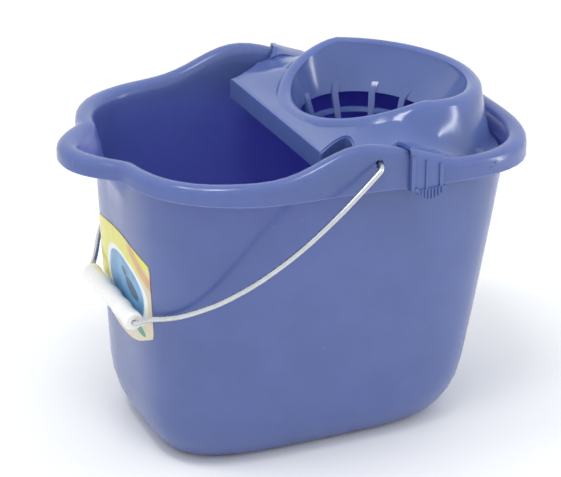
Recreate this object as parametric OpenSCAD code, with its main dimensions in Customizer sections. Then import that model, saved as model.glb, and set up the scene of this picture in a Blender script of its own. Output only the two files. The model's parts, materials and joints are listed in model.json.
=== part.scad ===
// Oval household mop bucket with a pouring spout, a lift-out conical wringer
// and a wire bail with a plastic grip. Millimetres, +Z up, the foot on z = 0,
// the spout towards -X, the origin under the middle of the bounding box.

/* [Bucket] */
// Height of the rim over the floor, away from the ears
bucket_h = 264; // [220:1:320]
// Rim length from the ears' cross line to the front edge, without the spout
rim_front = 172; // [140:1:210]
// Rim length from the ears' cross line to the rear edge
rim_rear = 190; // [157:1:230]
// Width over the rim
bucket_w = 282.6; // [235:0.1:340]
// Squareness of the rim outline, 2 is an ellipse
rim_n = 3.42; // [2.6:0.01:5]
// Width of the rolled rim
lip_w = 15.4; // [13:0.1:19]
// Wall of the bucket, rim and skirt
wall_t = 2.2; // [1.8:0.1:3]
// Base length from the ears' cross line forwards
base_front = 149; // [115:1:185]
// Base length from the ears' cross line backwards
base_rear = 131; // [100:1:165]
// Width of the base
base_w = 196; // [160:1:260]
// Height of the rounded bottom edge
base_round = 52; // [35:1:70]
// Height of the foot ring
foot_h = 2; // [1.5:0.1:4]

/* [Rim heights] */
// Rise of the ears over the rim
ear_rise = 27; // [15:0.5:40]
// Rise of the rim towards the spout
front_rise = 4.5; // [0:0.1:10]
// Fall of the rim from the cross line to the rear
rim_fall = 3.4; // [0:0.1:8]
// Depth of the skirt's lower edge under the rim height, at the front
skirt_front = 6.2; // [5:0.1:20]
// The same at the ears
skirt_mid = 11.2; // [8:0.1:24]
// The same at the rear
skirt_rear = 24; // [14:0.1:34]

/* [Spout] */
// Reach of the spout in front of the rim
spout_reach = 31.5; // [20:0.5:45]
// Half width of the spout outside
spout_half = 54; // [40:0.5:70]
// Height of the throat that carries the spout
throat_h = 38; // [25:1:60]

/* [Wringer] */
// Inner length of the mouth
mouth_l = 143; // [120:0.5:160]
// Inner width of the mouth
mouth_w = 162.6; // [135:0.1:180]
// From the mouth's rear inner edge to the rear of the rim
mouth_back = 37.3; // [34:0.1:60]
// Width of the rolled collar
collar_w = 14; // [10:0.5:18]
// Height of the collar over the rim height, at the sides
collar_rise = 37; // [28:0.5:50]
// Length of the flat apron in front of the mouth
apron = 25.7; // [20:0.1:40]
// Depth of the apron's front edge
apron_edge = 18; // [12:0.5:26]
// Wall of the wringer
wringer_t = 2.4; // [2:0.1:3.2]
// Clearance of the wringer inside the bucket wall
wringer_gap = 1.3; // [1:0.1:3]
// Half width of the apron between the finger scoops
scoop_y = 96; // [80:1:100]

/* [Basket] */
// Length of the funnel's lower opening
throat_l = 110; // [90:1:120]
// Width of the funnel's lower opening
throat_w = 132; // [100:1:140]
// Length of the basket floor
floor_l = 70; // [50:1:90]
// Width of the basket floor
floor_w = 92; // [70:1:110]
// Depth from the lower opening to the basket floor
basket_h = 58; // [40:1:80]
// Number of bars
bars = 12; // [8:1:16]
// Turn of the first bar from the rear
bar_turn = 0; // [0:1:29]
// Width of a bar
bar_w = 5.6; // [3.5:0.1:7]

/* [Latch] */
// Width of a latch strap
strap_w = 29; // [22:1:34]
// From the apron's front edge back to the middle of the strap
strap_back = 72.5; // [70:0.5:78]
// Clearance of the strap on the rim
strap_gap = 0.4; // [0.3:0.05:1]
// Catch of the strap under the skirt
catch_in = 1.2; // [0.8:0.1:2]
// Width of the thumb tab
tab_w = 26; // [18:1:28]
// Height of the thumb tab
tab_h = 10.5; // [8:0.5:14]

/* [Bail] */
// Diameter of the wire
wire_d = 4.5; // [4:0.1:6]
// Distance of the pivots behind the cross line
pivot_x = 15; // [6:0.5:18]
// Depth of the pivots under the top of the ears
pivot_drop = 14.3; // [10:0.1:17]
// Hole for the wire
pivot_hole = 7.5; // [6.5:0.1:9]
// Distance from the pivots to the grip
bail_r = 229; // [222:0.5:280]
// Length of the grip
grip_l = 110; // [90:1:118]
// Diameter of the grip
grip_d = 16.4; // [14:0.1:17]
// Clearance between grip and wire, and between grip and bucket
grip_gap = 0.3; // [0.2:0.05:0.6]

/* [Label] */
// Width of the label around the front wall
label_w = 124; // [80:1:150]
// Height of the label
label_h = 92; // [60:1:110]
// Height of the label's middle over the floor
label_z = 145; // [120:1:160]
// Thickness of the label
label_t = 0.5; // [0.4:0.1:1]

/* [Hidden] */
$fn = 48;

blue = "#6d7cbd";
// the origin lies halfway between the spout's tip and the rear of the rim
shift_x = (rim_front + spout_reach - rim_rear) / 2;
half_w = bucket_w / 2;
// the wall hangs inside the rim's outer edge
wall_in = lip_w - 1.9;

function lerp(a, b, t) = a + (b - a) * t;
function clamp(v) = max(0, min(1, v));
function smooth(t) = let(u = clamp(t)) u * u * (3 - 2 * u);
function unit(v) = v / norm(v);

// superellipse point in direction q with front and rear half lengths
function sup(q, f, r, b, n) =
    let(a = cos(q) < 0 ? f : r,
        d = pow(pow(abs(cos(q)) / a, n) + pow(abs(sin(q)) / b, n), -1 / n))
    [d * cos(q), d * sin(q)];

// height of the rim's crest and of the skirt's lower edge along x
function crest(x) =
    bucket_h - rim_fall * x / rim_rear
    + ear_rise * exp(-pow((x - 4) / (x < 4 ? 54 : 62), 2))
    + front_rise * smooth((-x - 40) / 70);
skirt_b = ((skirt_mid - skirt_rear) / rim_rear + (skirt_mid - skirt_front) / rim_front)
          / (rim_front + rim_rear);
skirt_a = (skirt_mid - skirt_rear) / rim_rear - skirt_b * rim_rear;
function skirt_z(x) = bucket_h - skirt_mid + skirt_a * x + skirt_b * x * x - 2.6 * exp(-pow((x + 80) / 55, 2));

// forward bulge of the spout at y, with soft feet
function lobe(y, reach, w, p) =
    let(g = 1 - pow(abs(y) / w, p)) reach * (g + sqrt(g * g + 0.01)) / 2.005;

// point of the rim at distance d inside its outer edge
function rim_pt(q, d) =
    let(s = sup(q, rim_front - d, rim_rear - d, half_w - d, rim_n), t = clamp(d / lip_w))
    [s[0] - (cos(q) < 0 ? lobe(s[1], lerp(spout_reach, spout_reach - 2, t),
        lerp(spout_half, spout_half - 10, t), lerp(2.3, 1.35, t)) : 0), s[1]];

// point of the wall at height z, off inside its outer face, floor at zb
function wall_pt(q, z, off = 0, zb = 0) =
    let(s = pow(clamp(z / bucket_h), 0.88), h = base_round - (zb > 0 ? wall_t : 0),
        u = clamp((z - zb) / h), fil = h * (1 - sqrt(1 - pow(1 - u, 2))) / 2 + off,
        p = sup(q, lerp(base_front, rim_front - wall_in, s) - fil,
            lerp(base_rear, rim_rear - wall_in, s) - fil,
            lerp(base_w / 2, half_w - wall_in, s) - fil, lerp(3.96, rim_n, s)),
        k = clamp((z - bucket_h + throat_h) / throat_h))
    [p[0] - (cos(q) < 0 ? lobe(p[1], (spout_reach - 2) * pow(k, 1.2),
        (spout_half - 10) * (0.35 + 0.65 * k) - off * 0.8, 1.35) : 0), p[1]];

// directions round the bucket, closer together across the spout
qs = concat([for (i = [0 : 27]) 156 + i * 48 / 28], [for (i = [0 : 75]) 204 + i * 312 / 76]);
function rim_ring(d, h) = [for (q = qs) let(p = rim_pt(q, d)) [p[0], p[1], crest(p[0]) + h]];
function skirt_ring(d) = [for (q = qs) let(p = rim_pt(q, d)) [p[0], p[1], skirt_z(p[0])]];
function wall_ring(z, off = 0, zb = 0) = [for (q = qs) let(p = wall_pt(q, z, off, zb)) [p[0], p[1], z]];
// ring between the throat's foot and the underside of the rim
function upper_ring(v, off, drop) =
    [for (q = qs) let(c = crest(rim_pt(q, wall_in)[0]) - drop, z = lerp(bucket_h - throat_h, c, v),
        p = wall_pt(q, z, off)) [p[0], p[1], z]];

floor_z = foot_h + wall_t;
low = [1.2, 5, 12, 22, 36];
mid = [base_round, 92, 135, 180];
up = [0, 0.3, 0.55, 0.8];

// triangles between rings of n points, closed by a fan at each end
function skin(m, n) = [for (i = [0 : m - 2], j = [0 : n - 1])
    let(a = i * n + j, b = i * n + (j + 1) % n) each [[a, a + n, b + n], [a, b + n, b]]];

module tub_body() {
    rings = concat(
        [wall_ring(foot_h)], [for (h = low) wall_ring(foot_h + h)], [for (z = mid) wall_ring(z)],
        [for (v = up) upper_ring(v, 0, 6.5)], [upper_ring(1, 0, 6.5)],
        [rim_ring(9.5, -3.5), rim_ring(5, -3.3), rim_ring(wall_t + 0.2, -6)],
        [skirt_ring(wall_t + 0.1), skirt_ring(0)],
        [rim_ring(0, -7.5), rim_ring(0.8, -4), rim_ring(2.6, -1.4), rim_ring(5, -0.2),
         rim_ring(8, 0), rim_ring(11.5, -1.1), rim_ring(14, -3.6), rim_ring(lip_w, -8)],
        [for (i = [3 : -1 : 0]) upper_ring(up[i], wall_t, 6.5)],
        [for (i = [3 : -1 : 0]) wall_ring(mid[i], wall_t, floor_z)],
        [for (i = [4 : -1 : 0]) wall_ring(floor_z + low[i], wall_t, floor_z)],
        [wall_ring(floor_z, wall_t + 2, floor_z)]);
    n = len(qs);
    m = len(rings);
    pts = concat([for (r = rings) each r], [[0, 0, foot_h], [0, 0, floor_z]]);
    polyhedron(pts, concat(skin(m, n),
        [for (j = [0 : n - 1]) [m * n, j, (j + 1) % n]],
        [for (j = [0 : n - 1]) [m * n + 1, (m - 1) * n + (j + 1) % n, (m - 1) * n + j]]));
}

module foot_outline(inset) {
    polygon([for (i = [0 : 3 : 357]) let(p = wall_pt(i, foot_h, inset)) p]);
}

pivot_z = crest(pivot_x) - pivot_drop;

module bucket_tub() {
    color(blue) translate([shift_x, 0, 0]) {
        difference() {
            tub_body();
            for (s = [-1, 1])
                translate([pivot_x, s * (half_w - wall_t / 2), pivot_z])
                    rotate([90, 0, 0]) cylinder(d = pivot_hole, h = 4 * wall_t, center = true);
        }
        linear_extrude(foot_h + 1) difference() {
            foot_outline(3);
            foot_outline(10);
        }
    }
}

// ---- wringer ----
mouth_x = rim_rear - mouth_back - mouth_l / 2;
apron_x = mouth_x - mouth_l / 2 - apron;
apron_z = bucket_h + 10;
throat_z = bucket_h - 6;
throat_x = mouth_x - 11;

// the mouth dips at the front and a little at the rear
function mouth_z(c) = bucket_h + collar_rise - (c < 0 ? 24.5 * pow(-c, 1.25) : 7 * c * (1.45 - 0.45 * c));
function mouth_pt(f, d) = let(p = sup(f, mouth_l / 2 + d, mouth_l / 2 + d, mouth_w / 2 + d, 2))
    [mouth_x + p[0], p[1]];
function low_pt(f, d) = let(p = sup(f, throat_l / 2 + d, throat_l / 2 + d, throat_w / 2 + d, 2))
    [throat_x + p[0], p[1]];

// how far the plate's edge lies under the crest of the rim
// at the ears it stays flat, further back it follows the crest
function edge_z(x) = x <= apron_x ? apron_z
    : min(apron_z + 7 * smooth((x - 14) / 40), crest(x) - 1.5 - 15 * smooth((x - 75) / 50));
function edge_deep(x) = lerp(apron_edge, 7, smooth((x - apron_x) / 40));
function side_pt(q) = let(a = rim_pt(q, lip_w), z = edge_z(a[0]) - edge_deep(a[0]))
    wall_pt(q, z, wall_t + wringer_gap);
// where the apron's front line meets the wall
function corner(lo, hi, k) = k == 0 ? lo : let(m = (lo + hi) / 2)
    side_pt(m)[0] > apron_x ? corner(m, hi, k - 1) : corner(lo, m, k - 1);
q_c = corner(60, 150, 20);
y_c = side_pt(q_c)[1];

side_n = 56;
front_n = 16;
edge = concat([for (i = [0 : side_n]) side_pt(lerp(-q_c, q_c, i / side_n))],
    [for (i = [1 : front_n - 1]) [apron_x, lerp(y_c, -y_c, i / front_n)]]);

// data of one spoke from the mouth to the edge point e:
// [collar point, edge point, collar height, edge height, power, reach, direction, angle]
function spoke(e) =
    let(f = atan2(e[1], e[0] - mouth_x), c = mouth_pt(f, collar_w), m = mouth_pt(f, 0),
        zm = mouth_z((m[0] - mouth_x) / mouth_l * 2), ze = edge_z(e[0]), len0 = norm(e - c),
        dir = (e - c) / len0, reach = len0 - 2)
    [c, e, max(zm - 5, ze + 0.6), ze, lerp(1, lerp(2.2, 4.2, smooth((e[0] - 85) / 40)), smooth((reach - 5) / 25)),
        reach, dir, f, zm];
spokes = [for (e = edge) spoke(e)];

function fall(s, w) = s[3] + (s[2] - s[3]) * pow(1 - w, s[4]);
function top_pt(s, w) = let(p = s[0] + s[6] * s[5] * w) [p[0], p[1], fall(s, w)];
function under_pt(s, w) =
    let(p = top_pt(s, w), k = (s[2] - s[3]) * s[4] * pow(1 - w, s[4] - 1),
        t = unit([s[5], -k]), q = s[6] * t[1] * wringer_t)
    [p[0] + q[0], p[1] + q[1], p[2] - wringer_t * t[0]];
function collar_pt(s, d, h) = let(p = mouth_pt(s[7], d)) [p[0], p[1], h];
function edge_pt(s, d, h) = let(p = s[1] - s[6] * d) [p[0], p[1], h];
function cone_pt(s, t, d) = let(a = mouth_pt(s[7], 0.6 + d), b = low_pt(s[7], d), p = lerp(a, b, t))
    [p[0], p[1], lerp(s[8] - 6, throat_z, pow(t, 0.93))];

module wringer_shell() {
    steps = [0.1, 0.24, 0.42, 0.64, 0.85];
    rings = [
        [for (s = spokes) cone_pt(s, 1, 0)], [for (s = spokes) cone_pt(s, 0.55, 0)],
        [for (s = spokes) cone_pt(s, 0, 0)],
        [for (s = spokes) collar_pt(s, 1.6, s[8] - 2.2)], [for (s = spokes) collar_pt(s, 4.2, s[8] - 0.4)],
        [for (s = spokes) collar_pt(s, 7.5, s[8])],
        [for (s = spokes) collar_pt(s, 11, lerp(s[8], s[2], 0.3))],
        for (w = concat([0], steps, [1])) [for (s = spokes) top_pt(s, w)],
        [for (s = spokes) edge_pt(s, 0.5, s[3] - 0.7)],
        [for (s = spokes) edge_pt(s, 0, s[3] - 2.4)],
        [for (s = spokes) edge_pt(s, 0, s[3] - edge_deep(s[1][0]))],
        [for (s = spokes) edge_pt(s, wringer_t, s[3] - edge_deep(s[1][0]))],
        [for (s = spokes) edge_pt(s, wringer_t, s[3] - wringer_t - 0.4)],
        for (w = [0.85, 0.64, 0.42, 0.24, 0.1, 0]) [for (s = spokes) under_pt(s, w)],
        [for (s = spokes) collar_pt(s, 7, s[8] - 3)],
        [for (s = spokes) collar_pt(s, 3.4, s[8] - 7)],
        [for (s = spokes) cone_pt(s, 0.55, wringer_t)],
        [for (s = spokes) cone_pt(s, 1, wringer_t)]];
    n = len(spokes);
    m = len(rings);
    polyhedron([for (r = rings) each r],
        [for (i = [0 : m - 1], j = [0 : n - 1])
            let(a = i * n + j, b = i * n + (j + 1) % n, c = ((i + 1) % m) * n + j,
                d = ((i + 1) % m) * n + (j + 1) % n) each [[a, d, c], [a, b, d]]]);
}

// plan curves of the finger scoops, from the apron's corner round to the wall:
// the right-hand one is deep, the left-hand one shallow
function bez(a, b, c, d, t) = a * pow(1 - t, 3) + 3 * b * t * pow(1 - t, 2) + 3 * c * t * t * (1 - t) + d * pow(t, 3);
function scoop(deep, t) = deep
    ? bez([apron_x, scoop_y], [apron_x + 22, scoop_y - 24], [apron_x + 50, scoop_y - 32], [apron_x + 18, y_c], t)
    : bez([apron_x, scoop_y - 3], [apron_x + 14, scoop_y + 2.5], [apron_x + 26, scoop_y + 14], [apron_x + 38, y_c], t);
function scoop_in(deep, t, d) = let(v = unit(scoop(deep, min(1, t + 0.02)) - scoop(deep, max(0, t - 0.02))))
    scoop(deep, t) + [v[1], -v[0]] * -d;

// height of the plate over a plan point
function q_at(f, lo, hi, k) = k == 0 ? lo : let(m = (lo + hi) / 2, p = side_pt(m))
    atan2(p[1], p[0] - mouth_x) < f ? q_at(f, m, hi, k - 1) : q_at(f, lo, m, k - 1);
function plate_z(p) = let(f = atan2(p[1], p[0] - mouth_x), fc = atan2(y_c, apron_x - mouth_x),
    e = f >= fc ? [apron_x, (apron_x - mouth_x) * tan(f)] : side_pt(q_at(f, 0, q_c, 18)),
    s = spoke(e)) fall(s, clamp(norm(p - s[0]) / s[5]));

// closed strip of sections, each a list of points in order
module loft(sec) {
    n = len(sec[0]);
    m = len(sec);
    polyhedron([for (s = sec) each s], concat(
        [for (i = [0 : m - 2], j = [0 : n - 1]) let(a = i * n + j, b = i * n + (j + 1) % n)
            each [[a, b + n, b], [a, a + n, b + n]]],
        [[for (j = [0 : n - 1]) j]], [[for (j = [n - 1 : -1 : 0]) (m - 1) * n + j]]));
}

module scoop_wall(deep) {
    loft([for (i = [0 : 14]) let(t = i / 14, a = scoop_in(deep, t, -0.7), b = scoop_in(deep, t, wringer_t - 0.7),
        za = plate_z(b) - 1.1, z0 = apron_z - apron_edge)
        [[a[0], a[1], z0], [b[0], b[1], z0], [b[0], b[1], za], [a[0], a[1], za]]]);
}

module scoop_cut(deep) {
    translate([0, 0, apron_z - 60]) linear_extrude(120)
        polygon(concat([for (i = [0 : 14]) scoop(deep, i / 14)],
            [scoop(deep, 1) + [0, 40], [apron_x - 10, y_c + 40], [apron_x - 10, scoop_y + 6]]));
}

strap_x = apron_x + strap_back;
function out_y(x) = half_w * pow(1 - pow(abs(x) / (x < 0 ? rim_front : rim_rear), rim_n), 1 / rim_n);

// closed sheet between two grids of points, rows along x
module sheet(over, under) {
    n = len(over);
    m = len(over[0]);
    function o(i, k) = i * m + k;
    function u(i, k) = n * m + i * m + k;
    polyhedron(concat([for (r = over) each r], [for (r = under) each r]), concat(
        [for (i = [0 : n - 2], k = [0 : m - 2])
            each [[o(i, k), o(i, k + 1), o(i + 1, k + 1)], [o(i, k), o(i + 1, k + 1), o(i + 1, k)],
                  [u(i, k), u(i + 1, k + 1), u(i, k + 1)], [u(i, k), u(i + 1, k), u(i + 1, k + 1)]]],
        [for (i = [0 : n - 2]) each [[o(i, 0), o(i + 1, 0), u(i + 1, 0)], [o(i, 0), u(i + 1, 0), u(i, 0)],
            [o(i, m - 1), u(i + 1, m - 1), o(i + 1, m - 1)], [o(i, m - 1), u(i, m - 1), u(i + 1, m - 1)]]],
        [for (k = [0 : m - 2]) each [[o(0, k), u(0, k), u(0, k + 1)], [o(0, k), u(0, k + 1), o(0, k + 1)],
            [o(n - 1, k), u(n - 1, k + 1), u(n - 1, k)], [o(n - 1, k), o(n - 1, k + 1), u(n - 1, k + 1)]]]));
}

// saddle that carries the wringer: a wall on the plate, bent over the rim,
// as pairs [face to the rim, other face] from the plate outwards
saddle_front = strap_x - strap_w / 2 - 13;
saddle_slant = [0, 3, 6, 8.5, 11, 13];
function saddle_pair(k, x) = let(y = out_y(x), c = crest(x), e = edge_z(x), g = strap_gap)
    k == 0 ? [[x, y - 19.1, e - 1.3], [x, y - 21.5, e - 1.3]]
    : k == 1 ? [[x, y - 19.1, max(c - 9, e + 0.2)], [x, y - 21.5, max(c - 8, e + 1.6)]]
    : k == 2 ? [[x, y - 16.9, max(c - 4, e + 0.8)], [x, y - 18.6, max(c - 2.5, e + 2.6)]]
    : k == 3 ? [[x, y - 13.5, c - 0.3], [x, y - 14.2, c + 2]]
    : [[x, y - (k == 4 ? 8 : 2.8), c + g], [x, y - (k == 4 ? 8 : 2.8), c + g + 2.4]];

module saddle() {
    x1 = strap_x + strap_w / 2 + 2;
    grid = [for (i = [0 : 9]) [for (k = [0 : 5]) saddle_pair(k, lerp(saddle_front + saddle_slant[k], x1, i / 9))]];
    sheet([for (r = grid) [for (p = r) p[1]]], [for (r = grid) [for (p = r) p[0]]]);
    // raised border along the slanting front edge
    rib = [for (i = [0, 1]) [for (k = [0 : 5]) saddle_pair(k, saddle_front + saddle_slant[k] + 0.5 + 2.8 * i)]];
    sheet([for (r = rib) [for (p = r) p[1] + unit(p[1] - p[0]) * 1.1]],
        [for (r = rib) [for (p = r) (p[0] + p[1]) / 2]]);
}

module both_sides() {
    children();
    mirror([0, 1, 0]) children();
}

module wringer_funnel() {
    color(blue) translate([shift_x, 0, 0]) {
        difference() {
            wringer_shell();
            scoop_cut(false);
            mirror([0, 1, 0]) scoop_cut(true);
        }
        scoop_wall(false);
        mirror([0, 1, 0]) scoop_wall(true);
        both_sides() saddle();
    }
}

// ---- basket under the funnel ----
function cage(f, t, d) = let(a = sup(f, throat_l / 2 + d, throat_l / 2 + d, throat_w / 2 + d, 2),
    b = sup(f, floor_l / 2 + d, floor_l / 2 + d, floor_w / 2 + d, 2), p = lerp(a, b, t))
    [throat_x + p[0], p[1], throat_z - basket_h * t];

module hoop(t, h, d0, d1) {
    n = 48;
    k = h / basket_h;
    pts = [for (i = [0 : n - 1]) let(f = i * 360 / n)
        each [cage(f, t, d0), cage(f, t + k, d0), cage(f, t + k, d1), cage(f, t, d1)]];
    polyhedron(pts, [for (i = [0 : n - 1], j = [0 : 3])
        let(a = i * 4 + j, b = i * 4 + (j + 1) % 4, c = ((i + 1) % n) * 4 + j, d = ((i + 1) % n) * 4 + (j + 1) % 4)
        each [[a, b, d], [a, d, c]]]);
}

module basket_bar(f) {
    // the bar starts as a rib on the funnel's wall
    m = cone_pt([0, 0, 0, 0, 0, 0, 0, f, mouth_z(cos(f))], 0.74, 0);
    p0 = cage(f, 0, 0);
    p1 = cage(f, 1, 0);
    r = unit([p0[0] - throat_x, p0[1]]);
    w = [-r[1], r[0]] * bar_w / 2;
    function sec(p, i, o) = [
        [p[0] + r[0] * o + w[0], p[1] + r[1] * o + w[1], p[2]], [p[0] + r[0] * o - w[0], p[1] + r[1] * o - w[1], p[2]],
        [p[0] - r[0] * i - w[0], p[1] - r[1] * i - w[1], p[2]], [p[0] - r[0] * i + w[0], p[1] - r[1] * i + w[1], p[2]]];
    loft([sec([m[0], m[1], m[2]], 0.6, 1), sec(p0, 2.4, 1.8), sec(p1, 2, 2)]);
}

module wringer_basket() {
    color(blue) translate([shift_x, 0, 0]) {
        for (i = [0 : bars - 1]) basket_bar(bar_turn + i * 360 / bars);
        hoop(13 / basket_h, 3.2, -2, 2);
        hoop(1 - 3 / basket_h, 6, -2.4, 2.4);
        difference() {
            translate([0, 0, throat_z - basket_h - 3]) linear_extrude(3)
                polygon([for (f = [0 : 7.5 : 352.5]) let(p = cage(f, 1, 0.4)) [p[0], p[1]]]);
            for (x = [-2 : 2], y = [-3 : 3])
                if (pow(x / 2.4, 2) + pow(y / 3.1, 2) < 1)
                    translate([throat_x + x * floor_l / 5.8, y * floor_w / 7.4, throat_z - basket_h - 5])
                        cylinder(d = 6.5, h = 8, $fn = 18);
        }
    }
}

// ---- latches, hung on the saddle's outer edge ----
function strap_sec(x, o, i, z0, z1) = let(y = out_y(x)) [[x, y + i, z0], [x, y + o, z0], [x, y + o, z1], [x, y + i, z1]];

module strap_rib(x0, x1, o, z1_off) {
    loft([for (k = [0 : 3]) let(x = lerp(x0, x1, k / 3))
        strap_sec(x, o, strap_gap + 1, skirt_z(x) - 2.6, crest(x) - z1_off)]);
}

module latch() {
    x0 = strap_x - strap_w / 2;
    x1 = strap_x + strap_w / 2;
    g = strap_gap;
    t = wringer_t;
    loft([for (k = [0 : 6]) let(x = lerp(x0, x1, k / 6), y = out_y(x), c = crest(x), s = skirt_z(x))
        [[x, y - catch_in, s - 2.6], [x, y + g + t, s - 2.6], [x, y + g + t, c - 1.2], [x, y + 1.2, c + 1.7],
         [x, y - 0.6, c + g + 2.4], [x, y - 2.4, c + g + 2.4], [x, y - 2.4, c + g], [x, y - 0.9, c + g - 0.2],
         [x, y + g, c - 1.6], [x, y + g, s - 0.4], [x, y - catch_in, s - 0.4]]]);
    strap_rib(x0, x0 + 3, t + 2, 3);
    strap_rib(x0 + 13, x0 + 15, t + 1.8, 3);
    strap_rib(x1 - 3.2, x1, t + 1.8, 3);
    translate([x0 + 3, out_y(x0) + g + 0.6, skirt_z(x0) - 2.6]) cube([2.6, t + 1.6, 3]);
    // half-round thumb tab with grip ridges
    translate([strap_x + 4, out_y(strap_x + 4) + g, skirt_z(strap_x) - 0.6]) {
        translate([0, t + 1.2, 0]) rotate([90, 0, 0]) linear_extrude(t + 1.2)
            polygon([for (i = [0 : 24]) let(f = -180 + i * 7.5) [cos(f) * tab_w / 2, sin(f) * tab_h]]);
        for (i = [-3 : 3])
            translate([i * 3 - 0.5, t + 1, -tab_h + 1.2 + i * i * 0.42]) cube([1, 1.6, tab_h - 1.8 - i * i * 0.42]);
    }
}

module latch_left() {
    color(blue) translate([shift_x, 0, 0]) latch();
}

module latch_right() {
    color(blue) translate([shift_x, 0, 0]) mirror([0, 1, 0]) latch();
}

// ---- bail ----
// angle under the horizontal at which the grip rests on the front wall
function rest_gap(a) = let(z = pivot_z - bail_r * sin(a))
    bail_r * cos(a) - pivot_x + wall_pt(180, z)[0] - grip_d / 2 - 1;
function rest(lo, hi, k) = k == 0 ? lo : let(m = (lo + hi) / 2) rest_gap(m) > 0 ? rest(m, hi, k - 1) : rest(lo, m, k - 1);
bail_rest = rest(0, 85, 24);

// centre line of the wire in the bail's plane, as [y, distance from the pivots]
legs = concat(
    [for (p = [[3, 0], [6.4, 1], [8.6, 3.4], [9.4, 7], [11.2, 24], [12.8, 45], [13, 64], [12, 84], [9.6, 102],
        [5.6, 119], [0.2, 136], [-7.2, 152], [-15.9, 167]]) [half_w + p[0], p[1]]],
    [for (p = [[-24.4, 51], [-33.6, 40.6], [-43.8, 30.8], [-55.4, 22.1]]) [half_w + p[0], bail_r - p[1]]],
    [for (p = [[77.8, 17], [70.6, 12.2], [64.8, 7.6], [60.8, 3.7], [58.2, 1.3], [56.2, 0.2], [54, 0]]) [p[0], bail_r - p[1]]]);

module wire_leg() {
    n = 12;
    leg_r = wire_d / 2 - 0.06;
    m = len(legs);
    function tan_at(i) = unit(legs[min(m - 1, i + 1)] - legs[max(0, i - 1)]);
    pts = [for (i = [0 : m - 1]) let(t = i == 0 ? [1, 0] : i == m - 1 ? [-1, 0] : tan_at(i), u = [-t[1], t[0]])
        each [for (k = [0 : n - 1]) let(a = k * 360 / n, c = cos(a) * leg_r, h = sin(a) * leg_r)
            [-(legs[i][1] + u[1] * c), legs[i][0] + u[0] * c, h]]];
    polyhedron(pts, concat(
        [for (i = [0 : m - 2], k = [0 : n - 1]) let(a = i * n + k, b = i * n + (k + 1) % n)
            each [[a, a + n, b + n], [a, b + n, b]]],
        [[for (k = [0 : n - 1]) k]], [[for (k = [n - 1 : -1 : 0]) (m - 1) * n + k]]));
}

module bail_frame() {
    translate([shift_x + pivot_x, 0, pivot_z]) rotate([0, -bail_rest, 0]) children();
}

module bail_wire() {
    color("#c9ccd1") bail_frame() {
        both_sides() {
            wire_leg();
            // pivot end and the upset head that keeps it in the skirt
            rotate([-90, 0, 0]) translate([0, 0, half_w - 7]) cylinder(d = wire_d, h = 10.5);
            rotate([-90, 0, 0]) translate([0, 0, half_w - 6.4]) cylinder(d = pivot_hole + 0.9, h = 1.8);
        }
        translate([-bail_r, 0, 0]) rotate([90, 0, 0]) cylinder(d = wire_d, h = 110, center = true);
    }
}

module grip() {
    color("white") bail_frame() translate([-bail_r, 0, 0]) rotate([90, 0, 0]) difference() {
        rotate_extrude() polygon(concat([[0, -grip_l / 2]],
            [for (i = [0 : 44]) let(t = i / 44, e = min(t, 1 - t) * grip_l)
                [grip_d / 2 - (e < 3 ? 1.6 * pow(1 - e / 3, 2) : 0)
                 - (e > 5 ? 0.9 * (1 - cos((e - 5) / (grip_l / 2 - 5) * 720)) / 2 : 0), -grip_l / 2 + t * grip_l]],
            [[0, grip_l / 2]]));
        cylinder(d = wire_d + 2 * grip_gap, h = grip_l + 4, center = true);
    }
}

// ---- label on the front wall ----
module label() {
    nu = 20;
    vs = [0, 0.03, 0.1, 0.22, 0.36, 0.5, 0.64, 0.78, 0.9, 0.97, 1];
    nv = len(vs) - 1;
    corner_r = 7;
    function half(u, v) = let(d = corner_r - min(corner_r, min(v, 1 - v) * label_h))
        u * (label_w / 2 - corner_r + sqrt(corner_r * corner_r - d * d));
    // arched upper and lower edges
    function lz(u, v) = label_z + lerp(-label_h / 2 + 15 * pow(abs(u), 2.2), label_h / 2 - 7 * pow(abs(u), 2), v);
    // direction in which the front wall reaches the half width y
    function q_y(y, z, lo, hi, k) = k == 0 ? lo : let(m = (lo + hi) / 2)
        wall_pt(m, z)[1] > y ? q_y(y, z, m, hi, k - 1) : q_y(y, z, lo, m, k - 1);
    function at(u, v, off) = let(z = lz(u, v), q = q_y(half(abs(u), v), z, 90, 180, 14), p = wall_pt(q, z, -off))
        [p[0], u < 0 ? -p[1] : p[1], z];
    function id(s, i, j) = s * (nu + 1) * (nv + 1) + i * (nv + 1) + j;
    pts = [for (s = [0, 1], i = [0 : nu], j = [0 : nv]) at(lerp(-1, 1, i / nu), vs[j], s == 0 ? -0.5 : label_t)];
    color("#d9d27a") translate([shift_x, 0, 0]) polyhedron(pts, concat(
        [for (i = [0 : nu - 1], j = [0 : nv - 1]) let(a = id(1, i, j), b = id(1, i + 1, j), c = id(1, i + 1, j + 1), d = id(1, i, j + 1))
            each [[a, b, c], [a, c, d]]],
        [for (i = [0 : nu - 1], j = [0 : nv - 1]) let(a = id(0, i, j), b = id(0, i + 1, j), c = id(0, i + 1, j + 1), d = id(0, i, j + 1))
            each [[a, c, b], [a, d, c]]],
        [for (i = [0 : nu - 1]) each [[id(1, i, 0), id(0, i, 0), id(0, i + 1, 0)], [id(1, i, 0), id(0, i + 1, 0), id(1, i + 1, 0)]]],
        [for (i = [0 : nu - 1]) each [[id(1, i, nv), id(0, i + 1, nv), id(0, i, nv)], [id(1, i, nv), id(1, i + 1, nv), id(0, i + 1, nv)]]],
        [for (j = [0 : nv - 1]) each [[id(1, 0, j), id(0, 0, j + 1), id(0, 0, j)], [id(1, 0, j), id(1, 0, j + 1), id(0, 0, j + 1)]]],
        [for (j = [0 : nv - 1]) each [[id(1, nu, j), id(0, nu, j), id(0, nu, j + 1)], [id(1, nu, j), id(0, nu, j + 1), id(1, nu, j + 1)]]]));
}

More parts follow.
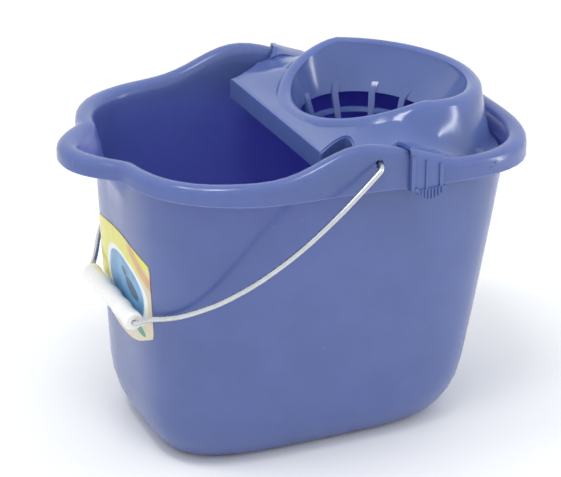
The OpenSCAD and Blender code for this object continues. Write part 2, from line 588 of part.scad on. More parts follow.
bucket_tub();
label();
wringer_funnel();
wringer_basket();
latch_left();
latch_right();
bail_wire();
grip();
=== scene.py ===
"""Looks of a household mop bucket with a clip-in wringer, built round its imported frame."""

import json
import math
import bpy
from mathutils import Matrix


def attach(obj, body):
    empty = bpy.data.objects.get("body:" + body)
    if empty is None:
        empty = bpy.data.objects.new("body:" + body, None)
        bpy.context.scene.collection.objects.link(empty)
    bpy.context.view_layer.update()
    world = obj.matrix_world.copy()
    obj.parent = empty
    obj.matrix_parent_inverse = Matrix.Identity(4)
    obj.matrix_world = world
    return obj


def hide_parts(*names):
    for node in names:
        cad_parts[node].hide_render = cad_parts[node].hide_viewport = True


bl_info = {
    "name": "Mop Bucket with Wringer",
    "version": (1, 0, 0),
    "blender": (4, 5, 0),
    "location": "View3D > Sidebar > Mop Bucket",
    "description": "Builds the bucket, wringer, latches, bail, grip and label with their finishes",
    "category": "Object",
}

import bmesh
import bpy
from bpy.props import FloatProperty, FloatVectorProperty, IntProperty, PointerProperty
from mathutils import Vector

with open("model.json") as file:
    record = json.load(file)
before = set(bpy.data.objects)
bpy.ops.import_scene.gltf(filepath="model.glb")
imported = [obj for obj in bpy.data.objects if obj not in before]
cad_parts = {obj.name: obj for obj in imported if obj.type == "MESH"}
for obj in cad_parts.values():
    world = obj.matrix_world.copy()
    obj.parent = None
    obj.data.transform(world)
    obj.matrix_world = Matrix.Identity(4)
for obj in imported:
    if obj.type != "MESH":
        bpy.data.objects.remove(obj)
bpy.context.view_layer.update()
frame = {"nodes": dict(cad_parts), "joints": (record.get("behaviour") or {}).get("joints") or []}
joints = {j["name"]: j for j in frame["joints"]}
bail_pivot = Vector(joints["bail_swing"]["pos_m"])
grip_centre = Vector(joints["grip_spin"]["pos_m"])


def length(name, description, default, low, high):
    return FloatProperty(name=name, description=description, default=default,
                         min=low, max=high, unit="LENGTH", subtype="DISTANCE", precision=5)


def share(name, description, default):
    return FloatProperty(name=name, description=description, default=default,
                         min=0.0, max=1.0, subtype="FACTOR")


def colour(name, description, default):
    return FloatVectorProperty(name=name, description=description, default=default,
                               size=3, min=0.0, max=1.0, subtype="COLOR")


class BucketSizes(bpy.types.PropertyGroup):
    """Sizes of the pieces that are made here and of their surface detail."""

    wire_diameter: length("Wire diameter", "Thickness of the bail wire", 0.0045, 0.003, 0.0055)
    wire_step: length("Wire step", "Distance between two rings of the wire", 0.002, 0.001, 0.006)
    wire_sides: IntProperty(name="Wire sides", description="Corners of the wire's round section",
                            default=20, min=8, max=48)
    head_diameter: length("Wire head", "Diameter of the upset head behind the skirt", 0.0084, 0.006, 0.009)
    smooth_angle: FloatProperty(name="Smooth angle", description="Edges blunter than this are shaded smooth",
                                default=math.radians(32), min=0.1, max=1.4, subtype="ANGLE")
    mottle_scale: FloatProperty(name="Mottle scale", description="Clouds of colour in a metre of plastic",
                                default=22.0, min=1.0, max=200.0)
    grain_scale: FloatProperty(name="Grain scale", description="Fineness of the moulded grain",
                               default=900.0, min=100.0, max=4000.0)
    lug_width: length("Lug width", "Width of the small lugs at the rear of the skirt", 0.006, 0.003, 0.012)


class BucketColours(bpy.types.PropertyGroup):
    """Colours and gloss of the finishes."""

    bucket: colour("Bucket", "Plastic of the bucket", (0.088, 0.128, 0.325))
    wringer: colour("Wringer", "Plastic of the wringer and its latches", (0.086, 0.130, 0.345))
    wire: colour("Wire", "Zinc-plated steel wire", (0.60, 0.62, 0.62))
    grip: colour("Grip", "Plastic of the hand grip", (0.86, 0.85, 0.83))
    print_ground: colour("Print ground", "Yellow ground of the label", (0.72, 0.68, 0.08))
    print_foot: colour("Print foot", "Sand colour at the foot of the label", (0.66, 0.58, 0.42))
    print_band: colour("Print band", "Orange band across the label", (0.62, 0.36, 0.16))
    print_shape: colour("Print shape", "Blue shape in the middle of the label", (0.10, 0.27, 0.48))
    print_line: colour("Print line", "Pale outline round the shape", (0.80, 0.84, 0.82))
    print_leaf: colour("Print leaf", "Green mark at the foot of the label", (0.06, 0.27, 0.16))
    floor: colour("Floor", "Pale floor and backdrop", (0.92, 0.92, 0.92))
    bucket_roughness: share("Bucket roughness", "Roughness of the bucket's plastic", 0.22)
    wringer_roughness: share("Wringer roughness", "Roughness of the wringer's plastic", 0.16)


class CameraSizes(bpy.types.PropertyGroup):
    """Where the camera stands and how the stage is lit."""

    azimuth: FloatProperty(name="Azimuth", description="Turn of the camera round the bucket",
                           default=math.radians(-23.19027), subtype="ANGLE")
    elevation: FloatProperty(name="Elevation", description="Height of the camera as an angle",
                             default=math.radians(23.86141), subtype="ANGLE")
    distance: length("Distance", "From the camera to the point it looks at", 1.887839, 0.5, 6.0)
    aim_x: length("Aim forward", "Aim ahead of the middle of the bucket", -0.002667, -0.2, 0.2)
    aim_z: length("Aim height", "Height of the point the camera looks at", 0.158107, 0.0, 0.4)
    lens: FloatProperty(name="Lens", description="Focal length on a 36 mm sensor",
                        default=140.7143, min=20.0, max=400.0, unit="CAMERA")
    floor_reach: length("Floor reach", "Half side of the floor", 6.0, 1.0, 20.0)
    world_strength: FloatProperty(name="World strength", description="Strength of the even light",
                                  default=1.0, min=0.0, max=4.0)
    key_power: FloatProperty(name="Key power", description="Power of the light over the bucket",
                             default=9.0, min=0.0, max=400.0, unit="POWER")


# Half width of the skirt where the bail passes through it.
SKIRT_HALF_WIDTH = 0.1413
# Centre line of one leg of the bail, in millimetres, as distance from the pivots and
# distance outside the skirt: from the pivot hole to the closing bend.
BAIL_SIDE = [(0.0, -7.0), (0.0, -2.0), (0.0, 2.0), (1.0, 6.4), (3.4, 8.6), (7.0, 9.4), (24.0, 11.2),
             (45.0, 12.8), (64.0, 13.0), (84.0, 12.0), (102.0, 9.6), (119.0, 5.6), (136.0, 0.2),
             (152.0, -7.2), (167.0, -15.9)]
# The closing bend, as distance short of the grip and distance outside the skirt.
BAIL_BEND = [(51.0, -24.4), (40.6, -33.6), (30.8, -43.8), (22.1, -55.4)]
# The corner into the grip, as distance short of the grip's axis and distance from its middle.
BAIL_CORNER = [(17.0, 77.8), (12.2, 70.6), (7.6, 64.8), (3.7, 60.8), (1.3, 58.2), (0.2, 56.2),
               (0.0, 54.0), (0.0, 27.0)]
# Section of the upset head, as a share of its radius and millimetres outside the skirt.
HEAD_PROFILE = ((0.5, -6.4), (0.82, -6.4), (1.0, -5.9), (1.0, -5.1), (0.82, -4.6), (0.5, -4.6))
# Distance back and height of each pair of lugs on the skirt, and its share of the lug width.
LUG_ROWS = ((0.1325, 0.2555, 0.7), (0.128, 0.2515, 1.0))
# Studio lights: name, place, width, height and share of the key light's power.
STUDIO_LIGHTS = (("key", (-0.4, -0.6, 2.05), 0.5, 0.5, 1.0),
                 ("window", (1.45, -0.62, 0.40), 0.15, 0.8, 0.4),
                 ("strip", (-0.75, -0.06, 1.9), 0.4, 0.2, 0.5))


# ---- small helpers for node trees ----

def node(tree, kind, at=(0, 0), **settings):
    n = tree.nodes.new(kind)
    n.location = at
    for key, value in settings.items():
        setattr(n, key, value)
    return n


def wire_up(tree, *pairs):
    for a, b in pairs:
        tree.links.new(a, b)


def maths(tree, operation, a, b=None, clamp=False):
    n = node(tree, "ShaderNodeMath", operation=operation, use_clamp=clamp)
    for i, v in enumerate((a, b)):
        if v is None:
            continue
        if isinstance(v, (int, float)):
            n.inputs[i].default_value = v
        else:
            tree.links.new(v, n.inputs[i])
    return n.outputs[0]


def span(tree, value, low, high, out_low=0.0, out_high=1.0, soft=True):
    n = node(tree, "ShaderNodeMapRange", interpolation_type="SMOOTHSTEP" if soft else "LINEAR")
    for i, v in enumerate((value, low, high, out_low, out_high)):
        if isinstance(v, (int, float)):
            n.inputs[i].default_value = v
        else:
            tree.links.new(v, n.inputs[i])
    return n.outputs[0]


def blend_colours(tree, share_of, a, b, kind="MIX"):
    n = node(tree, "ShaderNodeMix", data_type="RGBA", blend_type=kind)
    for socket, v in ((n.inputs[0], share_of), (n.inputs[6], a), (n.inputs[7], b)):
        if isinstance(v, (int, float)):
            socket.default_value = v
        elif isinstance(v, (tuple, list)):
            socket.default_value = (*v[:3], 1.0)
        else:
            tree.links.new(v, socket)
    return n.outputs[2]


def new_group(name, inputs, outputs):
    tree = bpy.data.node_groups.new(name, "ShaderNodeTree")
    for label, kind, default in inputs:
        s = tree.interface.new_socket(name=label, in_out="INPUT", socket_type=kind)
        s.default_value = (*default, 1.0) if kind == "NodeSocketColor" else default
    for label, kind in outputs:
        tree.interface.new_socket(name=label, in_out="OUTPUT", socket_type=kind)
    return tree, node(tree, "NodeGroupInput", (-900, 0)), node(tree, "NodeGroupOutput", (900, 0))


def moulded_plastic():
    """Cloudy colour, uneven gloss and fine grain of injection-moulded plastic."""
    name = "moulded_plastic"
    if name in bpy.data.node_groups:
        return bpy.data.node_groups[name]
    tree, given, out = new_group(name, [
        ("Colour", "NodeSocketColor", (0.1, 0.15, 0.4)), ("Mottle", "NodeSocketFloat", 0.08),
        ("Mottle Scale", "NodeSocketFloat", 22.0), ("Roughness", "NodeSocketFloat", 0.3),
        ("Unevenness", "NodeSocketFloat", 0.08), ("Grain Scale", "NodeSocketFloat", 900.0)],
        [("Colour", "NodeSocketColor"), ("Roughness", "NodeSocketFloat"), ("Height", "NodeSocketFloat")])
    place = node(tree, "ShaderNodeTexCoord")
    clouds = node(tree, "ShaderNodeTexNoise")
    clouds.inputs["Detail"].default_value = 5.0
    clouds.inputs["Roughness"].default_value = 0.6
    smears = node(tree, "ShaderNodeTexNoise")
    smears.inputs["Detail"].default_value = 3.0
    smears.inputs["Distortion"].default_value = 0.6
    grain = node(tree, "ShaderNodeTexNoise")
    grain.inputs["Detail"].default_value = 2.0
    for n in (clouds, smears, grain):
        tree.links.new(place.outputs["Object"], n.inputs["Vector"])
    wire_up(tree, (given.outputs["Mottle Scale"], clouds.inputs["Scale"]),
            (maths(tree, "MULTIPLY", given.outputs["Mottle Scale"], 2.7), smears.inputs["Scale"]),
            (given.outputs["Grain Scale"], grain.inputs["Scale"]))
    swing = span(tree, clouds.outputs["Fac"], 0.3, 0.7, -1.0, 1.0)
    gain = maths(tree, "ADD", 1.0, maths(tree, "MULTIPLY", swing, given.outputs["Mottle"]))
    grey = node(tree, "ShaderNodeCombineColor")
    for i in range(3):
        tree.links.new(gain, grey.inputs[i])
    toned = blend_colours(tree, 1.0, given.outputs["Colour"], grey.outputs[0], "MULTIPLY")
    uneven = maths(tree, "MULTIPLY", span(tree, smears.outputs["Fac"], 0.3, 0.75, -1.0, 1.0),
                   given.outputs["Unevenness"])
    rough = maths(tree, "ADD", given.outputs["Roughness"], uneven, clamp=True)
    height = maths(tree, "ADD", maths(tree, "MULTIPLY", grain.outputs["Fac"], 0.2),
                   maths(tree, "MULTIPLY", clouds.outputs["Fac"], 0.25))
    wire_up(tree, (toned, out.inputs["Colour"]), (rough, out.inputs["Roughness"]),
            (height, out.inputs["Height"]))
    return tree


def handling_wear():
    """Fine scratches and rubbed patches, stronger between two heights."""
    name = "handling_wear"
    if name in bpy.data.node_groups:
        return bpy.data.node_groups[name]
    tree, given, out = new_group(name, [
        ("Amount", "NodeSocketFloat", 0.5), ("Scratch Scale", "NodeSocketFloat", 60.0),
        ("Rub From", "NodeSocketFloat", 0.25), ("Rub To", "NodeSocketFloat", 0.29)],
        [("Mask", "NodeSocketFloat"), ("Height", "NodeSocketFloat")])
    place = node(tree, "ShaderNodeTexCoord")
    masks = []
    for turn, stretch in ((0.5, (1.0, 14.0, 3.0)), (2.1, (13.0, 1.0, 5.0)), (1.2, (4.0, 3.0, 16.0))):
        lay = node(tree, "ShaderNodeMapping")
        lay.inputs["Rotation"].default_value = (turn, turn * 0.4, turn * 1.3)
        lay.inputs["Scale"].default_value = stretch
        line = node(tree, "ShaderNodeTexNoise")
        line.inputs["Detail"].default_value = 3.0
        wire_up(tree, (place.outputs["Object"], lay.inputs["Vector"]),
                (lay.outputs[0], line.inputs["Vector"]),
                (given.outputs["Scratch Scale"], line.inputs["Scale"]))
        masks.append(span(tree, line.outputs["Fac"], 0.66, 0.8))
    lines = maths(tree, "MAXIMUM", maths(tree, "MAXIMUM", masks[0], masks[1]), masks[2])
    patches = node(tree, "ShaderNodeTexNoise")
    patches.inputs["Scale"].default_value = 9.0
    patches.inputs["Detail"].default_value = 4.0
    tree.links.new(place.outputs["Object"], patches.inputs["Vector"])
    split = node(tree, "ShaderNodeSeparateXYZ")
    tree.links.new(place.outputs["Object"], split.inputs[0])
    rubbed = span(tree, split.outputs["Z"], given.outputs["Rub From"], given.outputs["Rub To"])
    where = maths(tree, "MULTIPLY", span(tree, patches.outputs["Fac"], 0.42, 0.68),
                  maths(tree, "ADD", 0.35, maths(tree, "MULTIPLY", rubbed, 0.65)))
    mask = maths(tree, "MULTIPLY", maths(tree, "MULTIPLY", lines, where), given.outputs["Amount"], clamp=True)
    wire_up(tree, (mask, out.inputs["Mask"]),
            (maths(tree, "MULTIPLY", mask, -0.2), out.inputs["Height"]))
    return tree


def grouped(tree, group, **values):
    n = node(tree, "ShaderNodeGroup", node_tree=group)
    for key, value in values.items():
        n.inputs[key.replace("_", " ")].default_value = (*value, 1.0) if isinstance(value, tuple) else value
    return n


def start_material(name):
    m = bpy.data.materials.new(name)
    m.use_nodes = True
    m.node_tree.nodes.clear()
    shader = node(m.node_tree, "ShaderNodeBsdfPrincipled", (600, 0))
    out = node(m.node_tree, "ShaderNodeOutputMaterial", (900, 0))
    m.node_tree.links.new(shader.outputs[0], out.inputs[0])
    return m, m.node_tree, shader


def plastic(name, tint, roughness, mottle=0.05, uneven=0.05, bump=0.04, scuff=0.4,
            scuff_tint=(0.20, 0.25, 0.52), rub=(0.25, 0.29), coat=0.0, glow=0.0):
    sizes = bpy.context.scene.bucket_sizes
    m, tree, shader = start_material(name)
    body = grouped(tree, moulded_plastic(), Colour=tuple(tint), Mottle=mottle,
                   Mottle_Scale=sizes.mottle_scale, Roughness=roughness, Unevenness=uneven,
                   Grain_Scale=sizes.grain_scale)
    worn = grouped(tree, handling_wear(), Amount=scuff, Rub_From=rub[0], Rub_To=rub[1])
    shade = blend_colours(tree, worn.outputs["Mask"], body.outputs["Colour"], scuff_tint)
    rough = maths(tree, "ADD", body.outputs["Roughness"],
                  maths(tree, "MULTIPLY", worn.outputs["Mask"], 0.3), clamp=True)
    bumps = node(tree, "ShaderNodeBump", (300, -300))
    bumps.inputs["Strength"].default_value = bump
    bumps.inputs["Distance"].default_value = 0.002
    wire_up(tree, (shade, shader.inputs["Base Color"]), (rough, shader.inputs["Roughness"]),
            (maths(tree, "ADD", body.outputs["Height"], worn.outputs["Height"]), bumps.inputs["Height"]),
            (bumps.outputs[0], shader.inputs["Normal"]))
    shader.inputs["IOR"].default_value = 1.53
    shader.inputs["Coat Weight"].default_value = coat
    shader.inputs["Subsurface Weight"].default_value = glow
    shader.inputs["Subsurface Radius"].default_value = (0.5, 0.4, 1.0)
    shader.inputs["Subsurface Scale"].default_value = 0.012
    shader.inputs["Coat Roughness"].default_value = 0.08
    return m


# ---- small helpers for pieces ----

def use_material(ob, material):
    ob.data.materials.clear()
    ob.data.materials.append(material)


def smooth_piece(cad_node, name, body, material):
    """A merged copy of a CAD node's mesh, shaded smooth up to the set angle."""
    mesh = frame["nodes"][cad_node].data.copy()
    mesh.name = name
    work = bmesh.new()
    work.from_mesh(mesh)
    bmesh.ops.remove_doubles(work, verts=work.verts, dist=2e-6)
    work.to_mesh(mesh)
    work.free()
    for attribute in [a for a in mesh.attributes if a.name == "custom_normal"]:
        mesh.attributes.remove(attribute)
    mesh.polygons.foreach_set("use_smooth", [True] * len(mesh.polygons))
    mesh.set_sharp_from_angle(angle=bpy.context.scene.bucket_sizes.smooth_angle)
    ob = bpy.data.objects.new(name, mesh)
    bpy.context.scene.collection.objects.link(ob)
    use_material(ob, material)
    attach(ob, body)
    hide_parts(cad_node)
    return ob


def mesh_piece(name, verts, faces, material, smooth=True):
    mesh = bpy.data.meshes.new(name)
    mesh.from_pydata([tuple(v) for v in verts], [], faces)
    mesh.validate()
    mesh.polygons.foreach_set("use_smooth", [smooth] * len(mesh.polygons))
    ob = bpy.data.objects.new(name, mesh)
    bpy.context.scene.collection.objects.link(ob)
    use_material(ob, material)
    return ob


def label_print():
    """A plain printed picture: yellow and sand ground, orange band, a blue tub shape and a green mark."""
    colours = bpy.context.scene.bucket_colours
    m, tree, shader = start_material("label_print")
    place = node(tree, "ShaderNodeTexCoord")
    split = node(tree, "ShaderNodeSeparateXYZ")
    tree.links.new(place.outputs["Object"], split.inputs[0])
    across = maths(tree, "MULTIPLY", split.outputs["Y"], -1000.0)
    up = maths(tree, "MULTIPLY", split.outputs["Z"], 1000.0)

    # every place and size of the picture is in millimetres, across the front and up from the floor
    def oval(x, z, half_x, half_z, turn, power):
        """Distance from a rounded shape's middle, 1 on its outline."""
        c, s = math.cos(turn), math.sin(turn)
        dx = maths(tree, "SUBTRACT", across, x)
        dz = maths(tree, "SUBTRACT", up, z)
        a = maths(tree, "ADD", maths(tree, "MULTIPLY", dx, c / half_x),
                  maths(tree, "MULTIPLY", dz, s / half_x))
        b = maths(tree, "ADD", maths(tree, "MULTIPLY", dx, -s / half_z),
                  maths(tree, "MULTIPLY", dz, c / half_z))
        both = maths(tree, "ADD", maths(tree, "POWER", maths(tree, "ABSOLUTE", a), power),
                     maths(tree, "POWER", maths(tree, "ABSOLUTE", b), power))
        return maths(tree, "POWER", both, 1.0 / power)

    rise = maths(tree, "SUBTRACT", up, maths(tree, "MULTIPLY", across, 0.45))
    ground = blend_colours(tree, span(tree, rise, 138.0, 160.0),
                           tuple(colours.print_foot), tuple(colours.print_ground))
    slope = maths(tree, "ABSOLUTE", maths(tree, "SUBTRACT",
                  maths(tree, "ADD", up, maths(tree, "MULTIPLY", across, 0.56)), 200.0))
    band = maths(tree, "MULTIPLY", span(tree, slope, 8.0, 3.0), span(tree, across, 14.0, 30.0))
    ground = blend_colours(tree, band, ground, tuple(colours.print_band))
    tub = oval(12.0, 147.0, 45.0, 26.0, math.radians(-10), 2.6)
    picture = blend_colours(tree, span(tree, tub, 1.02, 0.98), ground, tuple(colours.print_line))
    sheen = node(tree, "ShaderNodeTexNoise")
    sheen.inputs["Scale"].default_value = 55.0
    tree.links.new(place.outputs["Object"], sheen.inputs["Vector"])
    body = blend_colours(tree, span(tree, sheen.outputs["Fac"], 0.35, 0.65), tuple(colours.print_shape),
                         tuple(min(1.0, v * 1.4) for v in colours.print_shape))
    picture = blend_colours(tree, span(tree, tub, 0.88, 0.84), picture, body)
    dark = tuple(v * 0.3 for v in colours.print_shape)
    for x, z, hx, hz, turn in ((27.0, 149.0, 15.0, 6.0, -0.35), (10.0, 158.5, 6.0, 3.0, -0.3)):
        picture = blend_colours(tree, span(tree, oval(x, z, hx, hz, turn, 2.0), 1.05, 0.9), picture, dark)
    leaf = oval(36.0, 118.5, 15.0, 4.6, -0.25, 2.0)
    picture = blend_colours(tree, maths(tree, "MULTIPLY", span(tree, leaf, 1.05, 0.9),
                            span(tree, sheen.outputs["Fac"], 0.38, 0.5)), picture, tuple(colours.print_leaf))
    faded = grouped(tree, moulded_plastic(), Mottle=0.04, Mottle_Scale=60.0, Roughness=0.34,
                    Unevenness=0.06, Grain_Scale=1500.0)
    wire_up(tree, (picture, faded.inputs["Colour"]), (faded.outputs["Colour"], shader.inputs["Base Color"]),
            (faded.outputs["Roughness"], shader.inputs["Roughness"]))
    crease = node(tree, "ShaderNodeBump")
    crease.inputs["Strength"].default_value = 0.12
    crease.inputs["Distance"].default_value = 0.001
    wire_up(tree, (faded.outputs["Height"], crease.inputs["Height"]),
            (crease.outputs[0], shader.inputs["Normal"]))
    shader.inputs["Coat Weight"].default_value = 0.25
    return m


def zinc_steel():
    """Bright zinc-plated wire with faint draw lines and dull spots."""
    colours = bpy.context.scene.bucket_colours
    m, tree, shader = start_material("zinc_steel")
    body = grouped(tree, moulded_plastic(), Colour=tuple(colours.wire), Mottle=0.05, Mottle_Scale=140.0,
                   Roughness=0.26, Unevenness=0.05, Grain_Scale=2600.0)
    worn = grouped(tree, handling_wear(), Amount=0.4, Scratch_Scale=220.0, Rub_From=0.0, Rub_To=0.2)
    shade = blend_colours(tree, worn.outputs["Mask"], body.outputs["Colour"], (0.45, 0.45, 0.43))
    bumps = node(tree, "ShaderNodeBump")
    bumps.inputs["Strength"].default_value = 0.04
    bumps.inputs["Distance"].default_value = 0.0004
    wire_up(tree, (shade, shader.inputs["Base Color"]),
            (body.outputs["Roughness"], shader.inputs["Roughness"]),
            (maths(tree, "ADD", body.outputs["Height"], worn.outputs["Height"]), bumps.inputs["Height"]),
            (bumps.outputs[0], shader.inputs["Normal"]))
    shader.inputs["Metallic"].default_value = 1.0
    return m


def wire_sweep():
    """Geometry nodes: a smooth round wire along a curve's points."""
    tree = bpy.data.node_groups.new("wire_sweep", "GeometryNodeTree")
    tree.is_modifier = True
    face = tree.interface
    face.new_socket(name="Path", in_out="INPUT", socket_type="NodeSocketGeometry")
    for label, kind, default in (("Radius", "NodeSocketFloat", 0.00225), ("Step", "NodeSocketFloat", 0.002),
                                 ("Sides", "NodeSocketInt", 20)):
        face.new_socket(name=label, in_out="INPUT", socket_type=kind).default_value = default
    face.new_socket(name="Finish", in_out="INPUT", socket_type="NodeSocketMaterial")
    face.new_socket(name="Wire", in_out="OUTPUT", socket_type="NodeSocketGeometry")
    given = node(tree, "NodeGroupInput", (-800, 0))
    bend = node(tree, "GeometryNodeCurveSplineType", (-600, 0), spline_type="CATMULL_ROM")
    steps = node(tree, "GeometryNodeResampleCurve", (-400, 0), mode="LENGTH")
    ring = node(tree, "GeometryNodeCurvePrimitiveCircle", (-400, -250), mode="RADIUS")
    skin = node(tree, "GeometryNodeCurveToMesh", (-200, 0))
    skin.inputs["Fill Caps"].default_value = True
    soft = node(tree, "GeometryNodeSetShadeSmooth", (0, 0))
    real = node(tree, "GeometryNodeRealizeInstances", (200, 0))
    paint = node(tree, "GeometryNodeSetMaterial", (400, 0))
    out = node(tree, "NodeGroupOutput", (600, 0))
    wire_up(tree, (given.outputs["Path"], bend.inputs["Curve"]), (bend.outputs[0], steps.inputs["Curve"]),
            (given.outputs["Step"], steps.inputs["Length"]),
            (given.outputs["Sides"], ring.inputs["Resolution"]),
            (given.outputs["Radius"], ring.inputs["Radius"]), (steps.outputs[0], skin.inputs["Curve"]),
            (ring.outputs[0], skin.inputs["Profile Curve"]), (skin.outputs[0], soft.inputs["Geometry"]),
            (soft.outputs[0], real.inputs["Geometry"]), (real.outputs[0], paint.inputs["Geometry"]),
            (given.outputs["Finish"], paint.inputs["Material"]), (paint.outputs[0], out.inputs["Wire"]))
    return tree


def baked(name, source, tree, **values):
    """The result of a geometry-nodes tree on an object, as a plain mesh object."""
    modifier = source.modifiers.new("build", "NODES")
    modifier.node_group = tree
    for item in tree.interface.items_tree:
        if item.in_out == "INPUT" and item.name in values:
            modifier[item.identifier] = values[item.name]
    bpy.context.view_layer.update()
    mesh = bpy.data.meshes.new_from_object(source.evaluated_get(bpy.context.evaluated_depsgraph_get()))
    mesh.name = name
    source.modifiers.remove(modifier)
    bpy.data.objects.remove(source)
    ob = bpy.data.objects.new(name, mesh)
    bpy.context.scene.collection.objects.link(ob)
    return ob


def bail_point(along, side):
    """A point of the bail: along from the pivots towards the grip, side across the bucket."""
    flat = Vector((bail_pivot.x, 0, bail_pivot.z))
    towards = (Vector((grip_centre.x, 0, grip_centre.z)) - flat).normalized()
    return flat + towards * along + Vector((0, side, 0))


class MOPBUCKET_OT_stage(bpy.types.Operator):
    """Pale floor, soft studio light and the camera"""

    bl_idname = "mop_bucket.stage"
    bl_label = "Stage, lights and camera"

    def execute(self, context):
        scene, sizes, colours = context.scene, context.scene.camera_sizes, context.scene.bucket_colours
        scene.view_settings.view_transform = "Standard"
        m, tree, shader = start_material("pale_floor")
        cloud = node(tree, "ShaderNodeTexNoise")
        cloud.inputs["Scale"].default_value = 1.5
        place = node(tree, "ShaderNodeTexCoord")
        tree.links.new(place.outputs["Object"], cloud.inputs["Vector"])
        tree.links.new(blend_colours(tree, cloud.outputs["Fac"], tuple(colours.floor),
                       tuple(v * 0.99 for v in colours.floor)), shader.inputs["Base Color"])
        shader.inputs["Roughness"].default_value = 0.9
        shader.inputs["Specular IOR Level"].default_value = 0.1
        r = sizes.floor_reach
        corners = [(-r, -r, 0), (r, -r, 0), (r, r, 0), (-r, r, 0)]
        floor = mesh_piece("floor", corners, [(0, 1, 2, 3)], m, False)
        world = bpy.data.worlds.new("even_light")
        world.use_nodes = True
        world.node_tree.nodes["Background"].inputs[0].default_value = (0.96, 0.98, 1.0, 1.0)
        world.node_tree.nodes["Background"].inputs[1].default_value = sizes.world_strength
        scene.world = world
        middle = Vector((0, 0, 0.2))
        for name, at, wide, high, share_of_key in STUDIO_LIGHTS:
            light = bpy.data.lights.new(name, "AREA")
            light.shape = "RECTANGLE"
            light.size, light.size_y = wide, high
            light.energy = sizes.key_power * share_of_key
            lamp = bpy.data.objects.new(name, light)
            lamp.location = at
            lamp.rotation_euler = (middle - Vector(at)).to_track_quat("-Z", "Y").to_euler()
            scene.collection.objects.link(lamp)
        a, e = sizes.azimuth, sizes.elevation
        back = Vector((math.sin(a) * math.cos(e), -math.cos(a) * math.cos(e), math.sin(e)))
        camera = bpy.data.cameras.new("camera")
        camera.lens, camera.sensor_width, camera.clip_end = sizes.lens, 36.0, 50.0
        eye = bpy.data.objects.new("camera", camera)
        eye.location = Vector((sizes.aim_x, 0, sizes.aim_z)) + back * sizes.distance
        eye.rotation_euler = (-back).to_track_quat("-Z", "Y").to_euler()
        scene.collection.objects.link(eye)
        scene.camera = eye
        return {"FINISHED"}


class MOPBUCKET_OT_bucket(bpy.types.Operator):
    """The tub with its rolled rim, skirt, ears and spout, and the small lugs on the skirt"""

    bl_idname = "mop_bucket.bucket"
    bl_label = "Bucket"

    def execute(self, context):
        sizes, colours = context.scene.bucket_sizes, context.scene.bucket_colours
        finish = plastic("bucket_plastic", colours.bucket, colours.bucket_roughness, mottle=0.05,
                         scuff=0.35, rub=(0.245, 0.285), glow=0.5)
        tub = smooth_piece("bucket_tub", "tub", "bucket", finish)
        lug, w = bmesh.new(), sizes.lug_width
        for x, z, wide in LUG_ROWS:
            for s in (-1, 1):
                hit, at, normal, _ = tub.ray_cast(Vector((x, s * 0.4, z)), Vector((0, -s, 0)))
                if not hit:
                    raise RuntimeError("no skirt where a lug should stand")
                made = bmesh.ops.create_uvsphere(lug, u_segments=20, v_segments=12, radius=1.0)["verts"]
                turn = normal.to_track_quat("Z", "Y")
                for v in made:
                    p = Vector((v.co.x * w * 0.5 * wide, v.co.y * w * 0.2, v.co.z * w * 0.16))
                    v.co = at + turn @ p
        mesh = bpy.data.meshes.new("skirt_lugs")
        lug.to_mesh(mesh)
        lug.free()
        mesh.polygons.foreach_set("use_smooth", [True] * len(mesh.polygons))
        lugs = bpy.data.objects.new("skirt_lugs", mesh)
        context.scene.collection.objects.link(lugs)
        use_material(lugs, finish)
        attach(lugs, "bucket")
        return {"FINISHED"}


class MOPBUCKET_OT_label(bpy.types.Operator):
    """The printed film on the front wall"""

    bl_idname = "mop_bucket.label"
    bl_label = "Label"

    def execute(self, context):
        smooth_piece("label", "label_film", "bucket", label_print())
        return {"FINISHED"}


class MOPBUCKET_OT_wringer(bpy.types.Operator):
    """The wringer's funnel and its basket of bars"""

    bl_idname = "mop_bucket.wringer"
    bl_label = "Wringer and basket"

    def execute(self, context):
        colours = context.scene.bucket_colours
        finish = plastic("wringer_plastic", colours.wringer, colours.wringer_roughness, mottle=0.04,
                         uneven=0.03, bump=0.03, scuff=0.3, rub=(0.27, 0.30), glow=0.3)
        smooth_piece("wringer_funnel", "funnel", "wringer", finish)
        smooth_piece("wringer_basket", "basket", "wringer", finish)
        return {"FINISHED"}


class MOPBUCKET_OT_latches(bpy.types.Operator):
    """The two latch straps with their thumb tabs"""

    bl_idname = "mop_bucket.latches"
    bl_label = "Latches"

    def execute(self, context):
        colours = context.scene.bucket_colours
        finish = plastic("latch_plastic", colours.wringer, colours.wringer_roughness, mottle=0.05,
                         uneven=0.05, bump=0.05, scuff=0.8, rub=(0.24, 0.275))
        for side in ("left", "right"):
            smooth_piece("latch_" + side, "strap_" + side, "latch_" + side, finish)
        return {"FINISHED"}


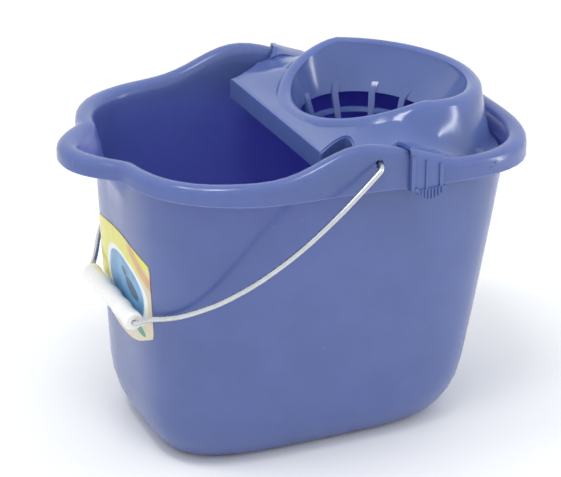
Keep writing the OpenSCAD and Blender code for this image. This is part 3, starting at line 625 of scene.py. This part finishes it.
class MOPBUCKET_OT_bail(bpy.types.Operator):
    """The bent wire and the heads that hold it in the skirt"""

    bl_idname = "mop_bucket.bail"
    bl_label = "Bail wire"

    def execute(self, context):
        sizes = context.scene.bucket_sizes
        finish = zinc_steel()
        reach = (grip_centre - bail_pivot).length
        half = SKIRT_HALF_WIDTH
        leg = [(d * 0.001, half + s * 0.001) for d, s in BAIL_SIDE] \
            + [(reach - d * 0.001, half + s * 0.001) for d, s in BAIL_BEND] \
            + [(reach - d * 0.001, s * 0.001) for d, s in BAIL_CORNER]
        path = [bail_point(d, s) for d, s in leg] + [bail_point(reach, 0.0)] \
            + [bail_point(d, -s) for d, s in reversed(leg)]
        curve = bpy.data.curves.new("bail_path", "CURVE")
        curve.dimensions = "3D"
        spline = curve.splines.new("POLY")
        spline.points.add(len(path) - 1)
        for p, q in zip(spline.points, path):
            p.co = (*q, 1.0)
        line = bpy.data.objects.new("bail_path", curve)
        context.scene.collection.objects.link(line)
        wire = baked("bail", line, wire_sweep(), Radius=sizes.wire_diameter / 2, Step=sizes.wire_step,
                     Sides=sizes.wire_sides, Finish=finish)
        use_material(wire, finish)
        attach(wire, "bail")
        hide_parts("bail_wire")
        r, n, verts, faces = sizes.head_diameter / 2, 32, [], []
        for s in (-1, 1):
            first = len(verts)
            rows = [(r * share_of_r, off * 0.001) for share_of_r, off in HEAD_PROFILE]
            for radius, off in rows:
                for i in range(n):
                    a = 2 * math.pi * i / n
                    verts.append((bail_pivot.x + radius * math.cos(a), s * (half + off),
                                  bail_pivot.z + radius * math.sin(a)))
            for k in range(len(rows)):
                for i in range(n):
                    a, b = first + k * n + i, first + k * n + (i + 1) % n
                    c, d = first + (k + 1) % len(rows) * n + (i + 1) % n, first + (k + 1) % len(rows) * n + i
                    faces.append((a, b, c, d) if s < 0 else (a, d, c, b))
        heads = mesh_piece("bail_heads", verts, faces, finish)
        work = bmesh.new()
        work.from_mesh(heads.data)
        bmesh.ops.recalc_face_normals(work, faces=work.faces)
        work.to_mesh(heads.data)
        work.free()
        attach(heads, "bail")
        return {"FINISHED"}


class MOPBUCKET_OT_grip(bpy.types.Operator):
    """The white hand grip with its finger waves"""

    bl_idname = "mop_bucket.grip"
    bl_label = "Hand grip"

    def execute(self, context):
        colours = context.scene.bucket_colours
        finish = plastic("grip_plastic", colours.grip, 0.32, mottle=0.03, uneven=0.06, bump=0.05, scuff=0.6,
                         scuff_tint=(0.55, 0.52, 0.47), rub=(0.1, 0.12), coat=0.1)
        for s in frame["nodes"]["grip"].material_slots:
            s.material = finish
        return {"FINISHED"}


class MOPBUCKET_PT_panel(bpy.types.Panel):
    """Lists the pieces and their settings"""

    bl_idname = "MOPBUCKET_PT_panel"
    bl_label = "Mop Bucket"
    bl_space_type = "VIEW_3D"
    bl_region_type = "UI"
    bl_category = "Mop Bucket"

    def draw(self, context):
        for cls in OPERATORS:
            self.layout.operator(cls.bl_idname)
        for group in (context.scene.bucket_sizes, context.scene.bucket_colours, context.scene.camera_sizes):
            box = self.layout.box()
            for key in group.bl_rna.properties.keys():
                if key not in ("rna_type", "name"):
                    box.prop(group, key)


OPERATORS = (MOPBUCKET_OT_stage, MOPBUCKET_OT_bucket, MOPBUCKET_OT_label, MOPBUCKET_OT_wringer,
             MOPBUCKET_OT_latches, MOPBUCKET_OT_bail, MOPBUCKET_OT_grip)
CLASSES = (BucketSizes, BucketColours, CameraSizes, *OPERATORS, MOPBUCKET_PT_panel)


def register():
    for cls in CLASSES:
        bpy.utils.register_class(cls)
    bpy.types.Scene.bucket_sizes = PointerProperty(type=BucketSizes)
    bpy.types.Scene.bucket_colours = PointerProperty(type=BucketColours)
    bpy.types.Scene.camera_sizes = PointerProperty(type=CameraSizes)


def unregister():
    for name in ("bucket_sizes", "bucket_colours", "camera_sizes"):
        delattr(bpy.types.Scene, name)
    for cls in reversed(CLASSES):
        bpy.utils.unregister_class(cls)


def main():
    register()
    for build in ("stage", "bucket", "label", "wringer", "latches", "bail", "grip"):
        getattr(bpy.ops.mop_bucket, build)()


if __name__ == "__main__":
    main()
